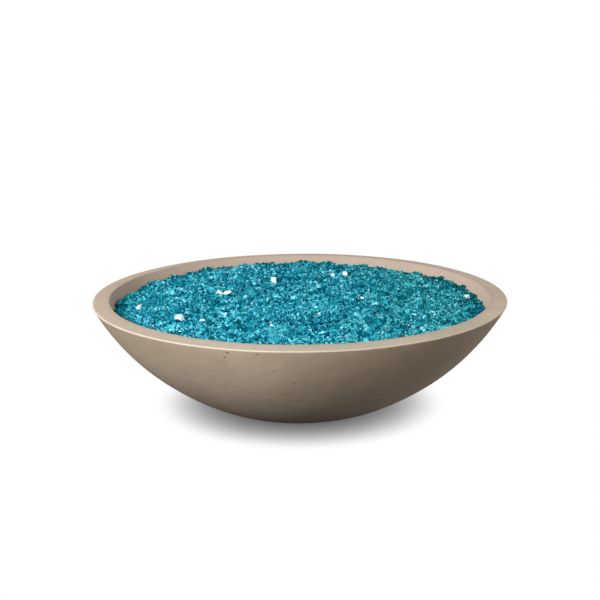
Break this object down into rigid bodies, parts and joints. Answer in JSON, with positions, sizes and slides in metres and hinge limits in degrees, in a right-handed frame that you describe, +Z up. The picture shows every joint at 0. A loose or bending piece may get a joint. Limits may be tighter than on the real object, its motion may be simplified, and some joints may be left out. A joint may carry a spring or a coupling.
{
  "type": "gas fire bowl",
  "caption": "Shallow round cast-concrete fire bowl with a wide flat lip, filled with aqua glass chips over a hidden burner tray, gas run and quarter-turn valve.",
  "frame": {"origin": "centre of the flat base, on the ground", "axes": "+Z up along the bowl's axis, front at -Y, gas run along +X under the tray"},
  "size_m": [0.7999, 0.8, 0.216],
  "materials": {
    "concrete": "fine cast concrete, sealed matt",
    "fire_glass": "tempered chips, clear aqua",
    "stainless": "brushed",
    "plated_steel": "zinc plated",
    "brass": "turned and cast, unpolished",
    "sealing_ring": "smooth white",
    "grip_vinyl": "dipped yellow vinyl"
  },
  "bodies": {
    "bowl": {"bowl": "concrete"},
    "tray": {"fire_glass": "fire_glass", "burner_tray": "stainless", "tray_washers": "stainless", "tray_locknuts": "stainless", "burner_hub": "stainless", "burner_ring_inner": "stainless", "burner_ring_outer": "stainless", "burner_spokes": "stainless", "ring_feet": "stainless", "burner_nipple": "stainless", "gas_elbow": "brass", "air_mixer": "brass", "gas_jet": "brass", "valve_nipple": "brass", "valve_body": "brass", "valve_end": "brass", "valve_seats": "sealing_ring", "stem_packing": "sealing_ring", "packing_nut": "brass", "inlet_elbow": "brass"},
    "shutter": {"air_shutter": "stainless", "shutter_screw": "brass"},
    "valve_handle": {"valve_ball": "stainless", "valve_stem": "brass", "valve_lever": "plated_steel", "lever_grip": "grip_vinyl", "lever_nut": "plated_steel"}
  },
  "joints": [
    {"name": "tray_lift", "type": "slide", "parent": "bowl", "child": "tray", "axis": [0, 0, 1], "range_m": [0, 0.2]},
    {"name": "shutter_turn", "type": "hinge", "parent": "tray", "child": "shutter", "pos_m": [0.063, 0, 0.075], "axis": [1, 0, 0], "range_deg": [0, 45]},
    {"name": "valve_turn", "type": "hinge", "parent": "tray", "child": "valve_handle", "pos_m": [0.137, 0, 0.075], "axis": [0, 0, 1], "range_deg": [0, 90]}
  ]
}
